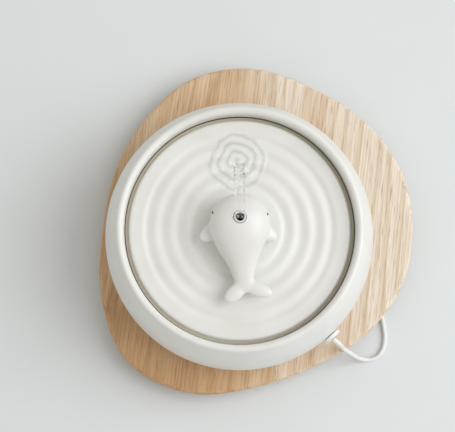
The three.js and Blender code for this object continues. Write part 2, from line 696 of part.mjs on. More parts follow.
// The moulded grip, with a tapered tail and a pocket for the shell; it points along -X.
function plugBody() {
  const width = [-PLUG_WIDTH / 2, PLUG_WIDTH / 2];
  const grip = roundedBlock([-PLUG_LENGTH, -7], width, [0, PLUG_HEIGHT], 1.6);
  const tail = new THREE.CylinderGeometry(2.6, 3.6, 8.6, 16).rotateZ(-Math.PI / 2);
  const half = SHELL_WIDTH / 2 + GAP;
  const middle = PLUG_HEIGHT / 2;
  const pocket = block(
    [-PLUG_LENGTH - 1, -PLUG_LENGTH + 5.3], [-half, half],
    [middle - SHELL_HEIGHT / 2 - GAP, middle + SHELL_HEIGHT / 2 + GAP]);
  return cut(join(grip, tail.translate(-4.3, 0, middle)), pocket);
}

function plugShell() {
  const x = [-PLUG_LENGTH - SHELL_LENGTH, -PLUG_LENGTH + 5];
  const half = SHELL_WIDTH / 2;
  const z = [(PLUG_HEIGHT - SHELL_HEIGHT) / 2, (PLUG_HEIGHT + SHELL_HEIGHT) / 2];
  return cut(
    block(x, [-half, half], z),
    block([x[0] - 1, x[1] - 1], inset([-half, half], SHELL_WALL), inset(z, SHELL_WALL)));
}

function plugInsert() {
  const half = SHELL_WIDTH / 2 - SHELL_WALL - GAP;
  const low = (PLUG_HEIGHT - SHELL_HEIGHT) / 2 + SHELL_WALL + GAP;
  const length = [-PLUG_LENGTH - SHELL_LENGTH + 0.6, -PLUG_LENGTH + 3.6];
  return block(length, [-half, half], [low, low + 1.5]);
}

const plug = new THREE.Group();
plug.position.set(...PLUG_REAR, 0);
fountain.add(plug);
place(plug, 'plug_body', plugBody(), FINISHES.whiteAbs);
place(plug, 'plug_shell', plugShell(), FINISHES.steel);
place(plug, 'plug_insert', plugInsert(), FINISHES.pumpPlastic);

const group = fountain;
export default group;
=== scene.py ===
"""Visible pieces of a table fountain: glazed bowl, rippled plate and whale, ash board, water, pump and cord.

Shapes are numpy surfaces in millimetres. make_piece() turns them into meshes in metres, in the part's frame.
"""

import math

import bmesh
import bpy
import numpy as np
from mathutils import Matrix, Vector


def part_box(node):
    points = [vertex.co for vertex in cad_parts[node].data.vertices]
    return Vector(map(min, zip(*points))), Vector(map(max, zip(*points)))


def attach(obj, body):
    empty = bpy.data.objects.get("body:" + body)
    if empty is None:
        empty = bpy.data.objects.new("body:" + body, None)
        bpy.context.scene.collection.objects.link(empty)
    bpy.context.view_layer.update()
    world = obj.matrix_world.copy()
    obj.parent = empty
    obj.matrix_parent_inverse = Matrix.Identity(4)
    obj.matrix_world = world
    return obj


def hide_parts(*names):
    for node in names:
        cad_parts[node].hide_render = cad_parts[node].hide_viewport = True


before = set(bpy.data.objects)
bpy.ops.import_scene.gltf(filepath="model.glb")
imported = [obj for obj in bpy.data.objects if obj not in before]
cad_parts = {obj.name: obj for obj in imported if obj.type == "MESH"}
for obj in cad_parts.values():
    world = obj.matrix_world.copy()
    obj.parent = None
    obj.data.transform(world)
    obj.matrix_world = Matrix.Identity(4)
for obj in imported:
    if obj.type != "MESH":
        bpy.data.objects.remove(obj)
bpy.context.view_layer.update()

bl_info = {
    "name": "Table Fountain",
    "version": (1, 0, 0),
    "blender": (4, 5, 0),
    "location": "3D View > Sidebar > Fountain",
    "description": "Builds the pieces of a ceramic table fountain with a submersible pump",
    "category": "Object",
}

MM = 0.001


# ---- places, from the frame


def node_box(*names):
    """Lowest and highest corner of one or more nodes, in millimetres."""
    corners = np.array([[list(corner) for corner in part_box(name)] for name in names]) / MM
    return corners[:, 0].min(0), corners[:, 1].max(0)


BOWL_LOW, BOWL_HIGH = node_box("bowl")
BOWL_AXIS = (BOWL_LOW + BOWL_HIGH)[:2] / 2
PLATE_LOW, PLATE_HIGH = node_box("ripple_plate")
HOSE_LOW, HOSE_HIGH = node_box("outlet_hose")
HOSE_AXIS = (HOSE_LOW + HOSE_HIGH)[:2] / 2
BOARD_LOW, BOARD_HIGH = node_box("board")


# ---- curves and grids


def srgb(code):
    """A hex colour such as #e2e1dc as linear red, green and blue."""
    value = np.array([int(code[i:i + 2], 16) for i in (1, 3, 5)]) / 255
    linear = np.where(value <= 0.04045, value / 12.92, ((value + 0.055) / 1.055) ** 2.4)
    return tuple(float(x) for x in linear)


def spline(points, per_span, closed=False):
    """Centripetal Catmull-Rom curve: on each span a cubic whose end slopes come from the spans beside it."""
    points = np.asarray(points, float)
    if closed:
        ring = np.vstack([points[-1:], points, points[:2]])
    else:
        ring = np.vstack([2 * points[:1] - points[1:2], points, 2 * points[-1:] - points[-2:-1]])
    steps = np.sqrt(np.linalg.norm(np.diff(ring, axis=0), axis=1))[:, None, None]
    p0, p1, p2, p3 = (ring[i:len(ring) - 3 + i, None] for i in range(4))
    d0, d1, d2 = (steps[i:len(steps) - 2 + i] for i in range(3))
    slope1 = d1 * ((p1 - p0) / d0 - (p2 - p0) / (d0 + d1) + (p2 - p1) / d1)
    slope2 = d1 * ((p2 - p1) / d1 - (p3 - p1) / (d1 + d2) + (p3 - p2) / d2)
    t = (np.arange(per_span) / per_span)[None, :, None]
    curve = (
        (2 * t**3 - 3 * t**2 + 1) * p1 + (t**3 - 2 * t**2 + t) * slope1
        + (3 * t**2 - 2 * t**3) * p2 + (t**3 - t**2) * slope2
    ).reshape(-1, points.shape[1])
    return curve if closed else np.vstack([curve, points[-1:]])


def filleted(corners, steps=6):
    """A polyline of (radius, height, fillet), its corners rounded by quadratic arcs as long as the fillet."""
    corners = np.asarray(corners, float)
    line = [corners[:1, :2]]
    for before, here, after in zip(corners[:-2], corners[1:-1], corners[2:]):
        size = here[2]
        if size <= 0:
            line.append(here[None, :2])
            continue
        back = (before - here)[:2] / np.linalg.norm((before - here)[:2])
        ahead = (after - here)[:2] / np.linalg.norm((after - here)[:2])
        t = np.linspace(0, 1, steps)[:, None]
        line.append(here[:2] + (1 - t) ** 2 * size * back + t**2 * size * ahead)
    line.append(corners[-1:, :2])
    return np.vstack(line)


def ring_profile(corners, steps=6):
    """A closed section of rounded (radius, height, fillet) corners, from half way along the last side."""
    corners = [tuple(c) for c in corners]
    first, last = np.array(corners[0]), np.array(corners[-1])
    middle = tuple((first[:2] + last[:2]) / 2) + (0,)
    return filleted([middle, *corners, middle], steps)[:-1]


def grid_faces(rows, columns, wrap_rows=False):
    """Quads of a grid whose rows each close on themselves; wrap_rows joins the last row to the first."""
    row, column = np.meshgrid(np.arange(rows if wrap_rows else rows - 1), np.arange(columns), indexing="ij")
    below, right = (row + 1) % rows, (column + 1) % columns
    corners = [(row, column), (row, right), (below, right), (below, column)]
    return np.stack([r * columns + c for r, c in corners], -1).reshape(-1, 4)


def turned(profile, sides, centre=(0, 0), along="Z"):
    """A profile of (radius, height) carried round an axis: x = r cos a, y = r sin a, z = height.

    along="X" or "Y" lays the axis down, so that height runs along X or Y. A profile that stays off the axis
    closes on itself.
    """
    profile = np.asarray(profile, float)
    angle = np.linspace(0, 2 * np.pi, sides, endpoint=False)
    r, height = profile[:, :1], profile[:, 1:2]
    flat = [r * np.cos(angle), r * np.sin(angle), height + 0 * angle]
    order = {"Z": (0, 1, 2), "X": (2, 0, 1), "Y": (1, 2, 0)}[along]
    points = np.stack([flat[i] for i in order], -1).reshape(-1, 3)
    offset = {"Z": (centre[0], centre[1], 0), "X": (0, *centre), "Y": (centre[0], 0, centre[1])}[along]
    wraps = profile[0, 0] > 1e-6 or profile[-1, 0] > 1e-6
    return points + np.array(offset, float), grid_faces(len(profile), sides, wrap_rows=wraps)


def capped(rows, first, last):
    """Rows of points round a shape, closed by a point at each end."""
    ends = [np.broadcast_to(end, (1, *rows.shape[1:])) for end in (first, last)]
    whole = np.concatenate([ends[0], rows, ends[1]])
    return whole.reshape(-1, 3), grid_faces(len(whole), rows.shape[1])


def carried(section, path, up=(0, 0, 1)):
    """(side, up) offsets carried along a path: point = path + side * s + up * u, where s = tangent x up.

    section is one closed outline, or one for each point of the path. The ends are closed by a point each.
    """
    path = np.asarray(path, float)
    section = np.broadcast_to(np.asarray(section, float), (len(path), *np.shape(section)[-2:]))
    tangent = np.gradient(path, axis=0)
    tangent /= np.linalg.norm(tangent, axis=1, keepdims=True)
    side = np.cross(tangent, np.asarray(up, float))
    side /= np.linalg.norm(side, axis=1, keepdims=True)
    lift = np.cross(side, tangent)
    body = path[:, None] + section[..., :1] * side[:, None] + section[..., 1:] * lift[:, None]
    return capped(body, path[0], path[-1])


def circle(radius, sides):
    """Points evenly round a circle: (r cos a, r sin a)."""
    angle = np.linspace(0, 2 * np.pi, sides, endpoint=False)
    return np.stack([radius * np.cos(angle), radius * np.sin(angle)], -1)


def lobe(half_sizes, centre, turn, tilt, rows=28, columns=36):
    """A flattened oval: (a sin v cos u, b sin v sin u, c cos v), tilted about Y and then turned about Z."""
    v, u = np.meshgrid(
        np.linspace(0, np.pi, rows), np.linspace(0, 2 * np.pi, columns, endpoint=False), indexing="ij")
    ball = np.stack([np.sin(v) * np.cos(u), np.sin(v) * np.sin(u), np.cos(v)], -1).reshape(-1, 3) * half_sizes
    ct, st, cz, sz = math.cos(tilt), math.sin(tilt), math.cos(turn), math.sin(turn)
    tilted = ball @ np.array([[ct, 0, st], [0, 1, 0], [-st, 0, ct]])
    return tilted @ np.array([[cz, sz, 0], [-sz, cz, 0], [0, 0, 1]]) + centre, grid_faces(rows, columns)


# ---- meshes


def make_mesh(name, *surfaces):
    """One mesh in metres from (points, faces) surfaces; doubles are merged and its faces turned outwards."""
    points, faces, start = [], [], 0
    for surface_points, surface_faces in surfaces:
        points.append(np.asarray(surface_points) * MM)
        faces.extend((np.asarray(surface_faces) + start).tolist())
        start += len(surface_points)
    mesh = bpy.data.meshes.new(name)
    mesh.from_pydata(np.vstack(points), [], faces)
    work = bmesh.new()
    work.from_mesh(mesh)
    bmesh.ops.remove_doubles(work, verts=work.verts, dist=1e-6)
    if work.calc_volume(signed=True) < 0:
        bmesh.ops.reverse_faces(work, faces=work.faces)
    work.to_mesh(mesh)
    work.free()
    return mesh


def make_piece(name, surfaces, builder, body, replaces=(), sharp=35):
    """A new piece that rides on a body, takes its finish from a builder and stands for the nodes it replaces.
    """
    mesh = make_mesh(name, *surfaces)
    mesh.materials.append(finish(builder))
    mesh.shade_smooth()
    mesh.set_sharp_from_angle(angle=math.radians(sharp))
    made = bpy.data.objects.new(name, mesh)
    bpy.context.scene.collection.objects.link(made)
    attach(made, body)
    if replaces:
        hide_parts(*replaces)
    return made


def apply_modifiers(made):
    """Puts what the modifiers make into the mesh itself."""
    evaluated = made.evaluated_get(bpy.context.evaluated_depsgraph_get())
    finished = bpy.data.meshes.new_from_object(evaluated)
    made.modifiers.clear()
    made.data = finished


def cut_out(made, *surfaces):
    """Takes each closed surface's space out of a piece."""
    for surface in surfaces:
        tool = bpy.data.objects.new("tool", make_mesh("tool", surface))
        bpy.context.scene.collection.objects.link(tool)
        modifier = made.modifiers.new("cut", "BOOLEAN")
        modifier.operation = "DIFFERENCE"
        modifier.solver = "MANIFOLD"
        modifier.object = tool
        apply_modifiers(made)
        bpy.data.objects.remove(tool)


def rod(radius, low, high, centre, along="Z", sides=48):
    """A plain cylinder between two heights."""
    return turned([(0, low), (radius, low), (radius, high), (0, high)], sides, centre, along)


def box_surface(low, high):
    """A plain box between two corners."""
    corner = np.array([[x, y, z] for x in (0, 1) for y in (0, 1) for z in (0, 1)], float)
    faces = [[0, 1, 3, 2], [4, 6, 7, 5], [0, 4, 5, 1], [2, 3, 7, 6], [0, 2, 6, 4], [1, 5, 7, 3]]
    low, high = np.asarray(low, float), np.asarray(high, float)
    return low + corner * (high - low), np.array(faces)


# ---- settings


class FountainSizes(bpy.types.PropertyGroup):
    """Sizes that a user may change"""

    board_edge: bpy.props.FloatProperty(
        name="Board edge", description="Radius of the board's worn upper edge",
        default=0.0034, min=0.0005, unit="LENGTH")
    ripple_height: bpy.props.FloatProperty(
        name="Ripple height", description="Height of the plate's ripples from valley to crest",
        default=0.0009, min=0, unit="LENGTH")
    ripple_pitch: bpy.props.FloatProperty(
        name="Ripple pitch", description="Distance from one ripple's crest to the next",
        default=0.0118, min=0.001, unit="LENGTH")
    jet_width: bpy.props.FloatProperty(
        name="Jet width", description="Width of the stream of water",
        default=0.0078, min=0.001, unit="LENGTH")
    cord_diameter: bpy.props.FloatProperty(
        name="Cord diameter", description="Outer diameter of the power cord",
        default=0.0035, min=0.001, unit="LENGTH")


class FountainColours(bpy.types.PropertyGroup):
    """Colours that a user may change"""

    glaze: bpy.props.FloatVectorProperty(
        name="Glaze", description="White satin glaze", subtype="COLOR", default=srgb("#ebecea"))
    glaze_shade: bpy.props.FloatVectorProperty(
        name="Glaze shade", description="Where the glaze lies thin and the clay warms it",
        subtype="COLOR", default=srgb("#e5e6e2"))
    # Painted shade: a darker, warmer colour laid in the groove round the plate, where the rim's shade falls.
    groove_shade: bpy.props.FloatVectorProperty(
        name="Groove shade", description="Unglazed wet clay in the groove round the plate",
        subtype="COLOR", default=srgb("#c3bba8"))
    wood: bpy.props.FloatVectorProperty(
        name="Wood", description="Ash between sap and heart", subtype="COLOR", default=srgb("#e0c5a3"))
    # Painted light: the heart wood and sap wood colours also make the board darker on its shaded left and
    # paler on its lit right.
    wood_dark_and_shade: bpy.props.FloatVectorProperty(
        name="Heart wood", description="Warm heart wood", subtype="COLOR", default=srgb("#d0a87b"))
    wood_pale_and_light: bpy.props.FloatVectorProperty(
        name="Sap wood", description="Pale sap wood", subtype="COLOR", default=srgb("#f0e7da"))
    cord: bpy.props.FloatVectorProperty(
        name="Cord", description="White cord and gland", subtype="COLOR", default=srgb("#eceded"))
    pump: bpy.props.FloatVectorProperty(
        name="Pump", description="Moulded pump casing", subtype="COLOR", default=srgb("#26282b"))


def sizes():
    """The sizes in use."""
    return bpy.context.scene.fountain_sizes


def colours():
    """The colours in use."""
    return bpy.context.scene.fountain_colours


# ---- materials


def add(tree, kind, links=None, stops=None, **settings):
    """Adds a node: links go to its sockets, stops to its ramp, and settings to its fields or sockets."""
    made = tree.nodes.new(kind)
    for key, value in settings.items():
        if key in made.inputs:
            made.inputs[key].default_value = value
        else:
            setattr(made, key, value)
    for key, socket in (links or {}).items():
        tree.links.new(socket, made.inputs[key])
    if stops:
        ramp = made.color_ramp
        while len(ramp.elements) < len(stops):
            ramp.elements.new(0.5)
        for element, (place, value) in zip(ramp.elements, stops):
            element.position = place
            element.color = (*value, 1) if hasattr(value, "__len__") else (value, value, value, 1)
    return made


def new_material(name, **numbers):
    """A new material, its node tree and its shader, which is given the numbers that are the same all over."""
    material = bpy.data.materials.new(name)
    material.use_nodes = True
    shader = material.node_tree.nodes["Principled BSDF"]
    for key, value in numbers.items():
        shader.inputs[key].default_value = value
    return material, material.node_tree, shader


def scaled_position(tree, scale, turn=0.0):
    """Object coordinates, turned about Z, in units of scale millimetres, which is one size or three."""
    place = add(tree, "ShaderNodeTexCoord")
    turned_place = add(tree, "ShaderNodeMapping", {"Vector": place.outputs["Object"]}, Rotation=(0, 0, turn))
    factor = tuple(1 / (MM * float(size)) for size in np.broadcast_to(scale, 3))
    scaled = add(tree, "ShaderNodeMapping", {"Vector": turned_place.outputs["Vector"]}, Scale=factor)
    return scaled.outputs["Vector"]


MADE = {}


def finish(builder):
    """The material that a builder makes, made once."""
    if builder.__name__ not in MADE:
        MADE[builder.__name__] = builder()
    return MADE[builder.__name__]


# The painted shade in the groove round the plate: its soft edges in millimetres, each from its start to its
# end.
# Two are measured from the flange's rim, one from the plate's underside and one from its top.
GROOVE_SHADE_INNER = (-2.6, -1.9)
GROOVE_SHADE_OUTER = (4.5, 3.5)
GROOVE_SHADE_LOWER = (-1.5, -0.5)
GROOVE_SHADE_UPPER = (-1.5, -3)


def painted_groove_mask(tree):
    """One in the groove round the plate, where shade is painted, and nought elsewhere: four smooth steps
    multiplied.
    """
    place = add(tree, "ShaderNodeTexCoord").outputs["Object"]
    flat = add(tree, "ShaderNodeVectorMath", {0: place}, operation="MULTIPLY")
    flat.inputs[1].default_value = (1, 1, 0)
    reach = add(tree, "ShaderNodeVectorMath", {0: flat.outputs["Vector"]}, operation="DISTANCE")
    reach.inputs[1].default_value = (BOWL_AXIS[0] * MM, BOWL_AXIS[1] * MM, 0)
    height = add(tree, "ShaderNodeSeparateXYZ", {"Vector": place}).outputs["Z"]
    flange = (PLATE_HIGH[0] - PLATE_LOW[0]) / 2
    steps = []
    for value, size, (start, stop) in (
        (reach.outputs["Value"], flange, GROOVE_SHADE_INNER), (reach.outputs["Value"], flange, GROOVE_SHADE_OUTER),
        (height, PLATE_LOW[2], GROOVE_SHADE_LOWER), (height, PLATE_HIGH[2], GROOVE_SHADE_UPPER),
    ):
        step = add(
            tree, "ShaderNodeMapRange", {"Value": value}, interpolation_type="SMOOTHSTEP",
            **{"From Min": (size + start) * MM, "From Max": (size + stop) * MM})
        steps.append(step.outputs["Result"])
    ring, layer = (
        add(tree, "ShaderNodeMath", {0: one, 1: other}, operation="MULTIPLY").outputs["Value"]
        for one, other in (steps[:2], steps[2:]))
    return add(tree, "ShaderNodeMath", {0: ring, 1: layer}, operation="MULTIPLY").outputs["Value"]


def glazed_stoneware():
    """Satin white glaze on stoneware: soft gloss, faint 30 mm clouds, 1.5 mm orange peel, and painted shade
    in the groove round the plate.
    """
    material, tree, shader = new_material(
        "satin_glazed_stoneware", Roughness=0.42, IOR=1.5, **{"Coat Weight": 0.25, "Coat Roughness": 0.28})
    cloud = add(
        tree, "ShaderNodeTexNoise", {"Vector": scaled_position(tree, 30)}, Scale=1.0, Detail=3.0)
    colour = add(
        tree, "ShaderNodeValToRGB", {"Fac": cloud.outputs["Fac"]},
        stops=[(0.32, colours().glaze_shade), (0.6, colours().glaze)])
    # Painted shade: the groove round the plate takes the darker, warmer groove colour.
    groove_shaded = add(
        tree, "ShaderNodeMix", {"Factor": painted_groove_mask(tree), "A": colour.outputs["Color"]}, data_type="RGBA",
        B=(*colours().groove_shade, 1))
    tree.links.new(groove_shaded.outputs["Result"], shader.inputs["Base Color"])
    peel = add(
        tree, "ShaderNodeTexNoise", {"Vector": scaled_position(tree, 1.5)}, Scale=1.0, Detail=2.0)
    bump = add(tree, "ShaderNodeBump", {"Height": peel.outputs["Fac"]}, Strength=0.12, Distance=0.0002)
    tree.links.new(bump.outputs["Normal"], shader.inputs["Normal"])
    return material


# How far the grain runs off the board's length, and how fast painted light makes the wood paler towards the
# lamp on the right and darker towards the shaded left, per metre.
GRAIN_TURN = 0.12
PAINTED_LIGHT_RISE = (2.8, 0.9, 0)


def oiled_ash():
    """Oiled ash, plain sawn: growth rings 8 mm apart round an axis below it, 1.3 mm fibres, 0.6 mm pores.

    Painted light makes the wood paler towards the lamp on the right and darker on the shaded left, over
    random patches of paler and darker wood. The oil leaves the wood nearly matt.
    """
    material, tree, shader = new_material("oiled_ash", Roughness=0.55)
    place = add(tree, "ShaderNodeTexCoord").outputs["Object"]
    lean = add(
        tree, "ShaderNodeMapping", {"Vector": place}, Location=(0.03, 0, 0.15),
        Rotation=(0.02, 0, GRAIN_TURN)).outputs[0]
    wander, fibres, patch, pores = (
        add(
            tree, "ShaderNodeTexNoise", {"Vector": scaled_position(tree, scale, GRAIN_TURN)}, Scale=1.0,
            Detail=detail)
        for scale, detail in (
            ((60, 420, 60), 2.0), ((1.3, 90, 1.3), 5.0), ((40, 240, 40), 2.0), ((0.6, 18, 0.6), 2.0)))
    sway = add(tree, "ShaderNodeVectorMath", {0: wander.outputs["Color"]}, operation="SCALE", Scale=0.045)
    bent = add(tree, "ShaderNodeVectorMath", {0: lean, 1: sway.outputs["Vector"]}, operation="ADD")
    rings = add(
        tree, "ShaderNodeTexWave", {"Vector": bent.outputs["Vector"]}, wave_type="RINGS", rings_direction="Y",
        wave_profile="SAW", Scale=40.0, Distortion=0.0)
    # Painted light: the colour pales towards the lamp on the board's right and darkens on its left, on top of
    # random patches.
    across = add(tree, "ShaderNodeVectorMath", {0: place}, operation="DOT_PRODUCT")
    across.inputs[1].default_value = PAINTED_LIGHT_RISE
    sap_and_light = add(tree, "ShaderNodeMath", {0: across.outputs["Value"], 1: patch.outputs["Fac"]}, operation="ADD")
    base = add(
        tree, "ShaderNodeValToRGB", {"Fac": sap_and_light.outputs["Value"]},
        stops=[(0.1, colours().wood_dark_and_shade), (0.42, colours().wood), (0.72, colours().wood_pale_and_light)])
    colour = base.outputs["Color"]
    for layer, stops in (
        (rings, [(0.0, "#ffffff"), (0.6, "#fbf8f4"), (0.93, "#ede3d6"), (1.0, "#faf6f0")]),
        (fibres, [(0.34, "#ebe2d7"), (0.6, "#ffffff")]),
        (pores, [(0.32, "#dccab6"), (0.42, "#ffffff")]),
    ):
        tone = add(
            tree, "ShaderNodeValToRGB", {"Fac": layer.outputs["Fac"]},
            stops=[(position, srgb(code)) for position, code in stops])
        colour = add(
            tree, "ShaderNodeMix", {"A": colour, "B": tone.outputs["Color"]}, data_type="RGBA",
            blend_type="MULTIPLY", Factor=1.0).outputs["Result"]
    tree.links.new(colour, shader.inputs["Base Color"])
    bump = add(tree, "ShaderNodeBump", {"Height": pores.outputs["Fac"]}, Strength=0.2, Distance=0.0002)
    tree.links.new(bump.outputs["Normal"], shader.inputs["Normal"])
    return material


def plain_finish(name, colour, roughness, grain, depth, metallic=0.0, spread=0.06):
    """A moulded or drawn surface: slight colour variation and a fine bump, grain millimetres across."""
    material, tree, shader = new_material(name, Roughness=roughness, Metallic=metallic)
    noise = add(tree, "ShaderNodeTexNoise", {"Vector": scaled_position(tree, grain)}, Scale=1.0, Detail=3.0)
    dark = tuple(c * (1 - spread) for c in colour)
    light = tuple(min(1, c * (1 + spread)) for c in colour)
    tone = add(tree, "ShaderNodeValToRGB", {"Fac": noise.outputs["Fac"]}, stops=[(0.3, dark), (0.7, light)])
    bump = add(tree, "ShaderNodeBump", {"Height": noise.outputs["Fac"]}, Strength=0.3, Distance=depth * MM)
    tree.links.new(tone.outputs["Color"], shader.inputs["Base Color"])
    tree.links.new(bump.outputs["Normal"], shader.inputs["Normal"])
    return material


def white_pvc():
    """Extruded white PVC of the cord: smooth, with a soft gloss."""
    return plain_finish("white_pvc_extruded", colours().cord, 0.38, 2, 0.02, spread=0.02)


def white_abs():
    """Injection moulded ABS, spark-eroded to a fine matt grain."""
    return plain_finish("white_abs_moulded", colours().cord, 0.34, 0.6, 0.02, spread=0.02)


def black_rubber():
    """Moulded black rubber with a dusty matt skin."""
    return plain_finish("black_rubber_moulded", srgb("#1f1f20"), 0.78, 0.8, 0.05, spread=0.2)


def white_silicone():
    """Milky moulded silicone."""
    return plain_finish("milky_silicone_moulded", srgb("#d9dcda"), 0.5, 1.5, 0.02, spread=0.03)


def pump_plastic():
    """Black moulded ABS of the pump's casing, with a fine spark-eroded grain."""
    return plain_finish("black_abs_moulded", colours().pump, 0.42, 0.5, 0.03, spread=0.12)


def bright_steel():
    """Stamped and tumbled stainless steel."""
    return plain_finish("tumbled_stainless_steel", srgb("#b9babb"), 0.28, (0.4, 3, 0.4), 0.01, 1.0)


def enamelled_copper():
    """Enamelled copper wire, wound in 0.4 mm turns that show as fine bands."""
    return plain_finish("enamelled_copper_wire", srgb("#b06a3c"), 0.32, (6, 0.4, 6), 0.06, 1.0, 0.2)


def stamped_lamination():
    """Silicon steel laminations 0.5 mm thick, stacked along the pump."""
    return plain_finish("silicon_steel_laminations", srgb("#7d7f82"), 0.4, (8, 0.5, 8), 0.05, 1.0, 0.15)


def sintered_ferrite():
    """Sintered ferrite: dark grey and slightly rough."""
    return plain_finish("sintered_ferrite", srgb("#38393b"), 0.6, 0.3, 0.03, 0.0, 0.15)


def circuit_laminate():
    """Green solder mask over glass laminate."""
    return plain_finish("green_circuit_laminate", srgb("#1f5a39"), 0.35, 1.2, 0.02, 0.0, 0.2)


def open_foam():
    """Open cell foam, with pores about 0.8 mm across."""
    return plain_finish("open_cell_foam", srgb("#343a40"), 0.95, 0.8, 0.5, 0.0, 0.5)


def clear_pvc():
    """Clear PVC tube: slightly milky, so that its cut end shows as a pale ring."""
    material, tree, shader = new_material(
        "clear_pvc_tube", Roughness=0.15, IOR=1.53, **{"Transmission Weight": 0.2})
    streak = add(tree, "ShaderNodeTexNoise", {"Vector": scaled_position(tree, (2, 2, 20))}, Scale=1.0)
    tone = add(
        tree, "ShaderNodeValToRGB", {"Fac": streak.outputs["Fac"]},
        stops=[(0.3, srgb("#e3e8e6")), (0.7, srgb("#f3f5f4"))])
    tree.links.new(tone.outputs["Color"], shader.inputs["Base Color"])
    return material


def clear_water():
    """Moving water: clear and glossy, with 4 mm ripples on its skin."""
    material, tree, shader = new_material(
        "clear_moving_water", Roughness=0.02, IOR=1.33,
        **{"Base Color": (1, 1, 1, 1), "Transmission Weight": 1.0})
    ripple = add(
        tree, "ShaderNodeTexNoise", {"Vector": scaled_position(tree, (4, 7, 4))}, Scale=1.0, Detail=1.0)
    bump = add(tree, "ShaderNodeBump", {"Height": ripple.outputs["Fac"]}, Strength=0.3, Distance=0.0008)
    tree.links.new(bump.outputs["Normal"], shader.inputs["Normal"])
    return material


# In millimetres: where the jet lands from the bowl's axis, the splash's reach, and where the painted light
# and shade of its rings fade out.
SPLASH_PLACE = (-2, 52)
SPLASH_RADIUS = 27.5
SPLASH_CALM = (18, 27)


def splashing_water():
    """Broken water round the landing jet: clear, with painted light and shade in its tint, paler and darker
    bands 7 mm from crest to crest that stand for the light its rings focus and reflect.
    """
    material, tree, shader = new_material(
        "splashing_water", Roughness=0.03, IOR=1.33, **{"Transmission Weight": 1.0})
    place = add(tree, "ShaderNodeTexCoord").outputs["Object"]
    landing = add(tree, "ShaderNodeVectorMath", {0: place}, operation="SUBTRACT")
    landing.inputs[1].default_value = (*(BOWL_AXIS + SPLASH_PLACE) * MM, PLATE_HIGH[2] * MM)
    rings = add(
        tree, "ShaderNodeTexWave", {"Vector": landing.outputs["Vector"]}, wave_type="RINGS",
        rings_direction="Z", Scale=46.0, Distortion=5.0, Detail=2.0, **{"Detail Scale": 1.3})
    # Painted light and shade: the rings' focused and reflected light is painted as paler and darker bands of
    # tint.
    tone = add(
        tree, "ShaderNodeValToRGB", {"Fac": rings.outputs["Fac"]},
        stops=[(0.0, srgb("#e7e9e7")), (0.4, srgb("#f7f8f7")), (0.8, srgb("#ffffff"))])
    reach = add(tree, "ShaderNodeVectorMath", {0: landing.outputs["Vector"]}, operation="LENGTH")
    calm = add(
        tree, "ShaderNodeMapRange", {"Value": reach.outputs["Value"]}, interpolation_type="SMOOTHSTEP",
        **{"From Min": SPLASH_CALM[0] * MM, "From Max": SPLASH_CALM[1] * MM})
    colour = add(
        tree, "ShaderNodeMix", {"Factor": calm.outputs["Result"], "A": tone.outputs["Color"]},
        data_type="RGBA", B=(1, 1, 1, 1))
    tree.links.new(colour.outputs["Result"], shader.inputs["Base Color"])
    return material


def dark_underglaze():
    """Dark brown underglaze of the eyes."""
    return plain_finish("dark_underglaze", srgb("#4a4038"), 0.35, 1, 0.02, spread=0.1)


# ---- board and feet


# The board's feet, in millimetres: the screw holes' radius and depth, and the room left out round a hole.
FOOT_COUNT = 4
SCREW_HOLE = 1.7
SCREW_DEPTH = 10.5
FOOT_HOLE_ROOM = 4
# Waves round the outline that are kept; finer ones are the node's facets.
OUTLINE_WAVES = 18


def board_outline(sides):
    """Radius of the board at even angles, from the node's wall without its foot holes, as a sum of waves."""
    points = np.array([v.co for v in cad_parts["board"].data.vertices]) / MM
    middle = (BOARD_LOW[2] + BOARD_HIGH[2]) / 2
    level = np.abs(points[:, 2] - middle) < (BOARD_HIGH[2] - BOARD_LOW[2]) / 2 - 2
    wall = np.unique(np.round(points[level][:, :2], 3), axis=0)
    for i in range(1, FOOT_COUNT + 1):
        low, high = node_box(f"foot_{i}")
        wall = wall[np.hypot(*(wall - (low + high)[:2] / 2).T) > FOOT_HOLE_ROOM]
    angle, radius = np.arctan2(wall[:, 1], wall[:, 0]), np.hypot(*wall.T)
    order = np.argsort(angle)
    even = np.linspace(-np.pi, np.pi, sides, endpoint=False)
    wave = np.fft.rfft(np.interp(even, angle[order], radius[order], period=2 * np.pi))
    wave[OUTLINE_WAVES:] = 0
    return even, np.fft.irfft(wave, sides)


def board_surface(edge):
    """A slab: rings inset from the outline by x at height z, where (x, z) runs over two quarter circles."""
    sides = 360
    angle, radius = board_outline(sides)
    outline = np.stack([radius * np.cos(angle), radius * np.sin(angle)], -1)
    tangent = np.roll(outline, -1, 0) - np.roll(outline, 1, 0)
    inward = np.stack([-tangent[:, 1], tangent[:, 0]], -1)
    inward /= np.linalg.norm(tangent, axis=1, keepdims=True)
    turn = np.linspace(0, np.pi / 2, 9)
    under = 0.6 * edge
    inset = np.concatenate([
        [40], under * (1 - np.sin(turn)), edge * (1 - np.cos(turn)), [edge + 2, 12, 40]])
    low, high = BOARD_LOW[2], BOARD_HIGH[2]
    height = np.concatenate([
        [low], low + under * (1 - np.cos(turn)), high - edge * (1 - np.sin(turn)), [high] * 3])
    rows = outline + inset[:, None, None] * inward
    rows = np.concatenate([rows, np.broadcast_to(height[:, None, None], (len(inset), sides, 1))], -1)
    return capped(rows, (0, 0, low), (0, 0, high))


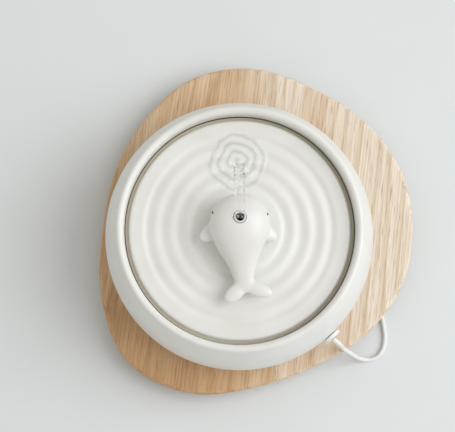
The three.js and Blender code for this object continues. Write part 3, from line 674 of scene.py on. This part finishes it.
class FOUNTAIN_OT_board(bpy.types.Operator):
    """Makes the ash board and its rubber feet, and finishes their screws"""

    bl_idname = "fountain.board"
    bl_label = "Board and feet"

    def execute(self, context):
        made = make_piece(
            "ash_board", [board_surface(sizes().board_edge / MM)], oiled_ash, "root",
            ["board"])
        for i in range(1, FOOT_COUNT + 1):
            low, high = node_box(f"foot_{i}")
            centre = (low + high)[:2] / 2
            cut_out(made, rod(SCREW_HOLE, low[2], high[2] + SCREW_DEPTH, centre, sides=24))
            section = ring_profile([
                (1.8, high[2], 0), (1.8, 4, 0.2), (4, 4, 0.3), (4, 0, 0.3), (8.9, 0, 0.9),
                (10, high[2], 0.3)])
            make_piece(
                f"rubber_foot_{i}", [turned(section, 64, centre)], black_rubber, "root",
                [f"foot_{i}"])
            dress(f"foot_screw_{i}", bright_steel)
        return {"FINISHED"}


def dress(node, builder, bevel=0.0, angle=30):
    """Gives a carried node its material, welds its facets and softens its edges."""
    carried_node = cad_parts[node]
    carried_node.data.materials.clear()
    carried_node.data.materials.append(finish(builder))
    weld = carried_node.modifiers.new("weld", "WELD")
    weld.merge_threshold = 1e-6
    if bevel:
        soften = carried_node.modifiers.new("soften", "BEVEL")
        soften.width = bevel * MM
        soften.segments = 2
        soften.limit_method = "ANGLE"
        soften.angle_limit = math.radians(angle)
    return carried_node


# ---- bowl

# Outer wall from the foot ring over the belly to the rim's shoulder: radius, and height above the board.
BOWL_OUTER = [
    (82.5, 0.6), (88, 2), (95, 6.6), (101, 14.6), (104.3, 23), (105, 29.5), (104.3, 38), (102.6, 47),
    (100, 57), (96.8, 66.5), (94.2, 73.4), (93.1, 76.2),
]
RIM_CREST = [(92.4, 77.3), (91.3, 77.95), (90.1, 78), (88.8, 77.5), (87.8, 76.5), (87.3, 75.2)]
BOWL_INNER = [
    (87.3, 71.5), (87.4, 64.5), (90.2, 58.5), (94, 51), (96.3, 43), (97.7, 32), (97.6, 25), (95.6, 17.5),
    (91.4, 12.2), (85, 10.2),
]
FOOT_RING_INNER = 74
# From the bowl's axis to the gland's outer face, and the radius of the hole that it sits in.
GLAND_FACE = 108.5
GLAND_HOLE = 5.3


def bowl_profile():
    """Under the floor, over the foot ring, up the wall, over the rim and down inside to the floor."""
    base = BOWL_LOW[2]
    foot = filleted([
        (0, 2.5, 0), (FOOT_RING_INNER - 2, 2.5, 1.5), (FOOT_RING_INNER, 0, 1), (82, 0, 1), (82.5, 0.6, 0)], 5)
    wall = spline([*BOWL_OUTER, *RIM_CREST, *BOWL_INNER], 8)
    floor = [(80, 10), (0, 10)]
    return np.vstack([foot[:-1], wall, floor]) + [0, base]


def on_gland_axis(surface):
    """A surface built along +X is turned about Z to the gland's direction and set at its height."""
    points, faces = surface
    low, high = node_box("gland_body")
    middle = (low + high) / 2
    angle = math.atan2(*(middle[:2] - BOWL_AXIS)[::-1])
    across, along = math.cos(angle), math.sin(angle)
    spin = np.array([[across, along, 0], [-along, across, 0], [0, 0, 1]])
    return points @ spin + [*BOWL_AXIS, middle[2]], faces


class FOUNTAIN_OT_bowl(bpy.types.Operator):
    """Makes the glazed bowl, drilled for the gland"""

    bl_idname = "fountain.bowl"
    bl_label = "Bowl"

    def execute(self, context):
        made = make_piece(
            "glazed_bowl", [turned(bowl_profile(), 256, BOWL_AXIS)], glazed_stoneware, "root",
            ["bowl"], sharp=50)
        cut_out(made, on_gland_axis(rod(GLAND_HOLE, 80, 120, (0, 0), along="X")))
        return {"FINISHED"}


class FOUNTAIN_OT_gland(bpy.types.Operator):
    """Makes the cord's gland in the bowl's wall"""

    bl_idname = "fountain.gland"
    bl_label = "Gland"

    def execute(self, context):
        face = GLAND_FACE
        body = ring_profile([
            (2.0, 86, 0), (4.6, 86, 0.4), (4.6, face - 3, 0), (8, face - 3, 0.5), (8, face, 1.2),
            (4.4, face, 0.3), (3.4, face - 0.5, 0.3), (2.0, face - 0.5, 0.2)])
        make_piece(
            "cord_gland", [on_gland_axis(turned(body, 96, (0, 0), "X"))], white_abs, "root",
            ["gland_body"])
        dress("gland_washer", black_rubber)
        dress("gland_nut", pump_plastic, 0.4)
        dress("inner_lead", white_pvc)
        return {"FINISHED"}


# ---- plate


# The radius of the innermost valley, and how many ripples out from it the plate is flat again.
FIRST_VALLEY = 34.5
RIPPLES_OUT = 3.5
# The flange: how far it stands past the node's, its width and its thickness. Then the disc's edge.
FLANGE_PROUD = 0.3
FLANGE_WIDTH = 2.9
FLANGE_THICKNESS = 1.2
DISC_EDGE = 3.3
HOSE_HOLE = 7.2


def plate_top(r):
    """Height of the plate at radius r: its top, less cosine valleys that fade in and out between radii."""
    pitch, depth = sizes().ripple_pitch / MM, sizes().ripple_height / MM
    fade_in = np.clip((r - (FIRST_VALLEY - pitch / 2)) / (pitch / 2), 0, 1)
    fade_out = np.clip((FIRST_VALLEY + RIPPLES_OUT * pitch - r) / (pitch / 2), 0, 1)
    inside = fade_in * fade_out
    smooth = inside * inside * (3 - 2 * inside)
    return PLATE_HIGH[2] - depth * smooth * (1 + np.cos(2 * np.pi * (r - FIRST_VALLEY) / pitch)) / 2


def plate_profile():
    """From the axis over the ripples, round the disc's edge, out along the flange and back underneath."""
    top, bottom = PLATE_HIGH[2], PLATE_LOW[2]
    flange = (PLATE_HIGH[0] - PLATE_LOW[0]) / 2 + FLANGE_PROUD
    radius, step = flange - FLANGE_WIDTH, bottom + FLANGE_THICKNESS
    r = np.concatenate([[0, 6, 14, 22], np.arange(26, radius - DISC_EDGE, 0.8)])
    over = np.stack([r, plate_top(r)], -1)
    around = filleted([
        (radius - DISC_EDGE, top, 0), (radius, top, 3.0), (radius, step, 0.4), (flange, step, 0.5),
        (flange, bottom, 0.5), (0, bottom, 0)], 8)
    return np.vstack([over, around[1:]])


class FOUNTAIN_OT_plate(bpy.types.Operator):
    """Makes the rippled plate with its grommet and pads"""

    bl_idname = "fountain.plate"
    bl_label = "Plate"

    def execute(self, context):
        made = make_piece(
            "rippled_plate", [turned(plate_profile(), 240, BOWL_AXIS)], glazed_stoneware, "plate",
            ["ripple_plate"], sharp=50)
        cut_out(made, rod(HOSE_HOLE, PLATE_LOW[2] - 2, PLATE_HIGH[2] + 2, HOSE_AXIS))
        low, high = node_box("plate_grommet")
        bottom = PLATE_LOW[2] - 0.1
        section = ring_profile([
            (5.1, low[2], 0.3), (9, low[2], 0.4), (9, bottom, 0.4), (6.9, bottom, 0.1),
            (6.9, high[2], 0.4), (5.1, high[2], 0.4)])
        make_piece(
            "silicone_grommet", [turned(section, 64, HOSE_AXIS)], white_silicone, "plate",
            ["plate_grommet"])
        for i in range(1, 4):
            low, high = node_box(f"plate_pad_{i}")
            pad = filleted([(0, low[2], 0), (4, low[2], 0.5), (4, high[2], 0.2), (0, high[2], 0)], 5)
            make_piece(
                f"silicone_pad_{i}", [turned(pad, 48, (low + high)[:2] / 2)], white_silicone,
                "plate", [f"plate_pad_{i}"])
        return {"FINISHED"}


# ---- whale

# From nose to tail, from the bowl's axis and the plate's top: y, middle x, half width, underside, top.
WHALE_STATIONS = [
    (24.9, 0, 0.5, 13.5, 14.5), (24.2, 0, 5.5, 9.5, 18), (22.6, 0, 10, 6, 21.6), (20, 0, 14, 3, 24.6),
    (16, 0, 17.8, 0.9, 27.4), (11, 0, 20.6, 0.3, 29.4), (5, 0, 22.2, 0.3, 30.5), (-1, 0, 22.3, 0.3, 30.6),
    (-7, 0, 21, 0.3, 29.6), (-13, -0.1, 18.4, 0.3, 27.4), (-19, 0.1, 15.4, 0.8, 24.2),
    (-25, 0.9, 12.3, 2.2, 20.6), (-31, 1.8, 9.8, 4, 17.2), (-37, 2.5, 8, 5.6, 14.4),
    (-42, 3.4, 6.8, 6.8, 12.6), (-46, 4.4, 5.2, 7.6, 11.4), (-48.5, 5, 0.4, 9.2, 9.8),
]
# Two lobes for each fin and three for the flukes: half sizes, centre, turn and tilt in degrees.
WHALE_LOBES = [
    ((10.6, 6.0, 3.8), (-21.0, -3.6, 9.4), 32, -10), ((10.5, 5.4, 4.6), (-17.6, 2.2, 10.2), 50, -10),
    ((10.4, 5.8, 3.8), (18.9, -3.6, 9.4), -28, -10), ((10.5, 5.4, 4.6), (16.6, 1.8, 10.2), -50, -10),
    ((10.0, 5.8, 2.7), (-3.4, -48.8, 9.9), 40, 0), ((11.4, 5.6, 2.7), (13.4, -46.6, 9.9), -17, 0),
    ((9.4, 5.8, 2.9), (4.2, -43.4, 9.9), 4, 0),
]
# How full the body's section is: 1 is an oval, and less is squarer.
WHALE_FULLNESS = 0.92
BLOWHOLE_RADIUS = 4.9
EYE_HEIGHT = 20.4


def whale_body():
    """An oval carried from nose to tail: x = m + w cos a, z = c + h sin a, with cos and sin to a power."""
    rows = spline(WHALE_STATIONS, 6)
    angle = np.linspace(0, 2 * np.pi, 64, endpoint=False)
    y, middle, half, low, high = (rows[:, i:i + 1] for i in range(5))
    c, s = (np.sign(wave) * np.abs(wave) ** WHALE_FULLNESS for wave in (np.cos(angle), np.sin(angle)))
    points = np.stack([middle + half * c, y + 0 * c, (low + high) / 2 + (high - low) / 2 * s], -1)
    return capped(points, points[0].mean(0), points[-1].mean(0))


def whale_parts():
    """The body and the closed lobes set into it."""
    return [whale_body()] + [
        lobe(half_sizes, centre, math.radians(turn), math.radians(tilt))
        for half_sizes, centre, turn, tilt in WHALE_LOBES]


def whale_flank(y, height, side):
    """The point of the body's left (-1) or right (1) flank at a place along it and a height over its base."""
    rows = spline(WHALE_STATIONS, 6)
    rows = rows[np.argsort(rows[:, 0])]
    middle, half, low, high = (np.interp(y, rows[:, 0], rows[:, i]) for i in range(1, 5))
    rise = (2 * height - low - high) / (high - low)
    return np.array([middle + side * half * math.sqrt(1 - rise * rise) ** 0.96, y, height])


def fuse(made, voxel, rounds):
    """Melts overlapping surfaces into one skin and smooths the joints, as a potter's fingers do."""
    remesh = made.modifiers.new("fuse", "REMESH")
    remesh.mode = "VOXEL"
    remesh.voxel_size = voxel * MM
    remesh.use_smooth_shade = True
    smooth = made.modifiers.new("smooth", "SMOOTH")
    smooth.factor = 0.5
    smooth.iterations = rounds
    apply_modifiers(made)


class FOUNTAIN_OT_whale(bpy.types.Operator):
    """Makes the whale, bored for the tube, and its eyes"""

    bl_idname = "fountain.whale"
    bl_label = "Whale"

    def execute(self, context):
        base = np.array([*BOWL_AXIS, PLATE_HIGH[2]])
        parts = [(points + base, faces) for points, faces in whale_parts()]
        made = make_piece(
            "glazed_whale", parts, glazed_stoneware, "plate", ["whale"], sharp=70)
        fuse(made, 0.75, 8)
        cut_out(
            made, rod(BLOWHOLE_RADIUS, PLATE_HIGH[2] - 5, PLATE_HIGH[2] + 40, HOSE_AXIS, sides=64),
            box_surface((-80, -100, PLATE_HIGH[2] - 10), (80, 60, PLATE_HIGH[2] + 0.3)))
        made.data.shade_smooth()
        made.data.set_sharp_from_angle(angle=math.radians(60))
        for name, y, side in (("eye_left", 9.1, -1), ("eye_right", 8.1, 1)):
            place = base + whale_flank(y, EYE_HEIGHT, side)
            turn, tilt = math.radians(-20 * side), math.radians(-25 * side)
            surface = lobe((0.7, 1.35, 0.9), place, turn, tilt, 16, 24)
            make_piece(name, [surface], dark_underglaze, "plate")
        return {"FINISHED"}


# ---- spout and water


def jet_path(steps):
    """Up out of the tube, over a low top and down in a parabola to the plate: z = top - k (y - y0)^2."""
    start = np.array([[*HOSE_AXIS, HOSE_HIGH[2] - 0.8], [*HOSE_AXIS, HOSE_HIGH[2] + 0.2]])
    top, land = HOSE_HIGH[2] + 1.6, PLATE_HIGH[2] + 1.4
    y0, y1 = HOSE_AXIS[1] + 8, BOWL_AXIS[1] + 49.5
    y = np.linspace(HOSE_AXIS[1] + 2.5, y1, steps)
    z = top - (top - land) * ((y - y0) / (y1 - y0)) ** 2
    x = HOSE_AXIS[0] - 0.5 * (y - y[0]) / (y1 - y[0])
    return spline(np.vstack([start, np.stack([x, y, z], -1)]), 4)


def jet_surface():
    """A stream, full at its edges and thin between: (w cos a, t sin a (0.55 + 0.45 cos^2 a)), with waves."""
    path = jet_path(22)
    along = np.linspace(0, 1, len(path))[:, None]
    angle = np.linspace(0, 2 * np.pi, 40, endpoint=False)[None]
    half = sizes().jet_width / MM / 2 * (0.72 + 0.3 * along**0.5 + 0.05 * np.sin(19 * along + 0.6))
    thick = 2.2 - 0.7 * along
    waist = 0.55 + 0.45 * np.cos(angle) ** 2
    wave = 1 + 0.15 * np.sin(3 * angle + 26 * along) * along
    wave = wave + 0.1 * np.sin(5 * angle - 41 * along) * along
    side = half * np.cos(angle) * wave
    lift = thick * np.sin(angle) * waist * wave
    return carried(np.stack([side, lift], -1), path, up=(0, 0.35, 1))


def splash_surface():
    """A skin of water on the plate: z = h + the sum over rings of a exp(-((r - r0) / w)^2), fading out."""
    centre = BOWL_AXIS + SPLASH_PLACE
    rings, sides = 110, 160
    r = np.concatenate([np.linspace(0, SPLASH_RADIUS, rings), np.linspace(SPLASH_RADIUS, 0, 30)])[:, None]
    angle = np.linspace(0, 2 * np.pi, sides, endpoint=False)[None]
    wobble = 1 + sum(
        size * np.sin(count * angle + phase)
        for size, count, phase in ((0.05, 3, 1), (0.03, 5, 0.4), (0.015, 11, 0)))
    x = centre[0] + r * wobble * np.cos(angle)
    y = centre[1] + r * wobble * np.sin(angle)
    ground = plate_top(np.hypot(x - BOWL_AXIS[0], y - BOWL_AXIS[1])) + 0.02
    fade = np.clip((SPLASH_RADIUS - r) / 9, 0, 1)
    waves = sum(
        size * np.exp(-((r - middle) / width) ** 2)
        for size, middle, width in ((1.4, 11.5, 1.5), (0.7, 15.4, 1.2), (1.0, 20, 1.6)))
    mound = 2.0 * np.exp(-((r - 4.6) / 1.9) ** 2) * (1 + 0.4 * np.sin(4 * angle + 0.5))
    lift = (0.12 + waves + mound) * fade * fade * (3 - 2 * fade)
    z = ground + np.where(np.arange(len(r))[:, None] < rings, lift, 0)
    return np.stack([x, y, z], -1).reshape(-1, 3), grid_faces(len(r), sides)


class FOUNTAIN_OT_spout(bpy.types.Operator):
    """Makes the clear outlet tube and the water that runs from it"""

    bl_idname = "fountain.spout"
    bl_label = "Spout and water"

    def execute(self, context):
        low, high = HOSE_LOW[2], HOSE_HIGH[2]
        section = ring_profile([(3, low, 0.2), (4.6, low, 0.2), (4.6, high, 0.5), (3, high, 0.5)])
        make_piece(
            "clear_outlet_tube", [turned(section, 64, HOSE_AXIS)], clear_pvc, "root",
            ["outlet_hose"])
        for name, surface, builder, sharp in (
            ("water_jet", jet_surface(), clear_water, 180),
            ("splash_film", splash_surface(), splashing_water, 60),
        ):
            water = make_piece(name, [surface], builder, "plate", sharp=sharp)
            water.visible_shadow = False
            water.visible_diffuse = False
        return {"FINISHED"}


# ---- cord and plug

# The cord's free run from the gland over the board's edge to the coil, and its end from the coil to the plug.
CORD_RUN = [
    (59.1, -90.8, 50), (61.8, -92.9, 49.3), (64.3, -94.6, 46.4), (65.9, -95.7, 41.5), (67, -96.4, 36),
    (68.7, -97.5, 31), (71.6, -99.1, 26.9), (76.2, -101.6, 21), (81, -103.8, 13), (85.4, -105, 6),
    (90.8, -105.6, 2.1), (96.6, -104.6, 1.75), (101.4, -101.1, 1.75), (104.5, -95.2, 1.75),
    (105.7, -88, 1.75), (105.2, -80.6, 1.75), (103.9, -73.6, 1.75), (101.7, -65.5, 1.75),
    (98.2, -56.5, 1.75), (94.1, -48.3, 1.9), (91.3, -41.5, 2.2),
]
CORD_TAIL = [
    (86.9, -10.6, 4), (84.2, -4, 2.6), (79, 3.8, 1.9), (72, 9.4, 2.1), (64.5, 11.8, 3.2), (58.3, 12, 3.8),
]
# The coil in millimetres: its inner radius, the room for each turn, and the turns in each of its two layers.
COIL_INNER = 12.9
COIL_PITCH = 3.6
COIL_TURNS = 4.5
POINTS_PER_TURN = 48


def cord_path():
    """The run, a coil r = r0 + p |t - n| that winds in below and out above, and the tail, in one line."""
    low, high = node_box("cord_coil")
    centre = (low + high)[:2] / 2
    radius = sizes().cord_diameter / MM / 2
    turns = np.arange(1, 2 * COIL_TURNS * POINTS_PER_TURN) / POINTS_PER_TURN
    reach = COIL_INNER + COIL_PITCH * np.abs(turns - COIL_TURNS)
    climb = np.clip((turns - COIL_TURNS) / 0.5 + 0.5, 0, 1)
    height = low[2] + radius + 2 * radius * climb * climb * (3 - 2 * climb)
    angle = 2 * np.pi * turns
    coil = np.stack([centre[0] + reach * np.cos(angle), centre[1] + reach * np.sin(angle), height], -1)
    start = spline([*CORD_RUN, (89.2, -31.5, low[2] + radius)], 12)
    end = spline([coil[-1], (88.9, -22.5, 5.7), *CORD_TAIL], 12)
    return np.vstack([start[:-1], coil[4:-1], end])


class FOUNTAIN_OT_cord(bpy.types.Operator):
    """Makes the power cord and finishes its tie and its plug"""

    bl_idname = "fountain.cord"
    bl_label = "Cord and plug"

    def execute(self, context):
        path = cord_path()
        diameter = sizes().cord_diameter
        cord = make_piece(
            "power_cord", [carried(circle(diameter / MM / 2, 20), path)], white_pvc, "root",
            ["cord_run", "cord_coil", "cord_tail"], sharp=80)
        plug = dress("plug_body", white_abs, 0.5)
        shell = dress("plug_shell", bright_steel, 0.1)
        insert = dress("plug_insert", pump_plastic, 0.2)
        tie = dress("cord_tie", black_rubber, 0.2)
        return {"FINISHED"}


# ---- stand and pump


class FOUNTAIN_OT_stand(bpy.types.Operator):
    """Finishes the stand that carries the plate"""

    bl_idname = "fountain.stand"
    bl_label = "Plate stand"

    def execute(self, context):
        dress("plate_stand", white_abs, 0.6)
        return {"FINISHED"}


class FOUNTAIN_OT_pump(bpy.types.Operator):
    """Finishes the submersible pump's pieces"""

    bl_idname = "fountain.pump"
    bl_label = "Pump"

    def execute(self, context):
        for builder, bevel, nodes in (
            (pump_plastic, 0.4, ("pump_housing", "back_cover", "volute_cover", "intake_cover")),
            (black_rubber, 0, ("suction_cup_1", "suction_cup_2", "suction_cup_3", "suction_cup_4")),
            (black_rubber, 0, ("chamber_seal", "rear_bush", "front_bush")),
            (white_abs, 0.3, ("flow_slider",)),
            (white_abs, 0.2, ("impeller",)),
            (open_foam, 0, ("prefilter_foam",)),
            (stamped_lamination, 0.2, ("stator_core",)),
            (enamelled_copper, 0.6, ("coil_left", "coil_right")),
            (circuit_laminate, 0, ("control_board",)),
            (sintered_ferrite, 0.3, ("rotor_magnet",)),
            (bright_steel, 0, ("shaft",)),
        ):
            for node in nodes:
                dress(node, builder, bevel)
        return {"FINISHED"}


# ---- stage


# Places in metres, the lens in millimetres, the lamp's power in watts.
CAMERA_PLACE = (-0.0234, -0.1332, 1.0147)
CAMERA_TARGET = (-0.0234, 0.0098, 0.025)
CAMERA_LENS = 97.4
WINDOW_PLACE = (2.05, 0.1, 2.2)
WINDOW_TARGET = (0, 0, 0.05)
WINDOW_SIZE = 2.3
WINDOW_POWER = 56.0
ROOM_LIGHT = 0.64


def turned_towards(thing, target):
    """Turns a camera or lamp so that it looks at a point."""
    thing.rotation_euler = (Vector(target) - thing.location).to_track_quat("-Z", "Y").to_euler()


class FOUNTAIN_OT_stage(bpy.types.Operator):
    """Makes the camera, the pale floor and the soft studio light"""

    bl_idname = "fountain.stage"
    bl_label = "Stage"

    def execute(self, context):
        scene = context.scene
        camera = bpy.data.objects.new("camera", bpy.data.cameras.new("camera"))
        camera.data.lens = CAMERA_LENS
        camera.data.clip_start = 0.01
        camera.location = CAMERA_PLACE
        turned_towards(camera, CAMERA_TARGET)
        scene.collection.objects.link(camera)
        scene.camera = camera
        scene.view_settings.view_transform = "Standard"

        floor_mesh = make_mesh("floor", box_surface((-3000, -3000, -20), (3000, 3000, 0)))
        floor_mesh.materials.append(
            plain_finish("pale_matt_floor", srgb("#e2e7ea"), 0.9, 60, 0.01, spread=0.01))
        floor = bpy.data.objects.new("floor", floor_mesh)
        scene.collection.objects.link(floor)

        world = bpy.data.worlds.new("studio")
        world.use_nodes = True
        background = world.node_tree.nodes["Background"]
        background.inputs["Color"].default_value = (*srgb("#f4f0e8"), 1)
        background.inputs["Strength"].default_value = ROOM_LIGHT
        scene.world = world
        lamp = bpy.data.lights.new("window", "AREA")
        lamp.size = WINDOW_SIZE
        lamp.energy = WINDOW_POWER
        lamp.color = srgb("#fbfcff")
        window = bpy.data.objects.new("window", lamp)
        window.location = WINDOW_PLACE
        turned_towards(window, WINDOW_TARGET)
        scene.collection.objects.link(window)
        return {"FINISHED"}


# ---- panel


class FOUNTAIN_PT_panel(bpy.types.Panel):
    """Sizes, colours and pieces of the fountain"""

    bl_label = "Table Fountain"
    bl_idname = "FOUNTAIN_PT_panel"
    bl_space_type = "VIEW_3D"
    bl_region_type = "UI"
    bl_category = "Fountain"

    def draw(self, context):
        for settings in (context.scene.fountain_sizes, context.scene.fountain_colours):
            for key in settings.__annotations__:
                self.layout.prop(settings, key)
        for operator in OPERATORS:
            self.layout.operator(operator.bl_idname)


OPERATORS = (
    FOUNTAIN_OT_stage, FOUNTAIN_OT_cord, FOUNTAIN_OT_board, FOUNTAIN_OT_bowl, FOUNTAIN_OT_gland,
    FOUNTAIN_OT_plate, FOUNTAIN_OT_whale, FOUNTAIN_OT_spout, FOUNTAIN_OT_stand, FOUNTAIN_OT_pump,
)
CLASSES = (FountainSizes, FountainColours, *OPERATORS, FOUNTAIN_PT_panel)


def register():
    for cls in CLASSES:
        bpy.utils.register_class(cls)
    bpy.types.Scene.fountain_sizes = bpy.props.PointerProperty(type=FountainSizes)
    bpy.types.Scene.fountain_colours = bpy.props.PointerProperty(type=FountainColours)


def unregister():
    del bpy.types.Scene.fountain_colours
    del bpy.types.Scene.fountain_sizes
    for cls in reversed(CLASSES):
        bpy.utils.unregister_class(cls)


def main():
    register()
    for operator in OPERATORS:
        group, name = operator.bl_idname.split(".")
        getattr(getattr(bpy.ops, group), name)()


if __name__ == "__main__":
    main()
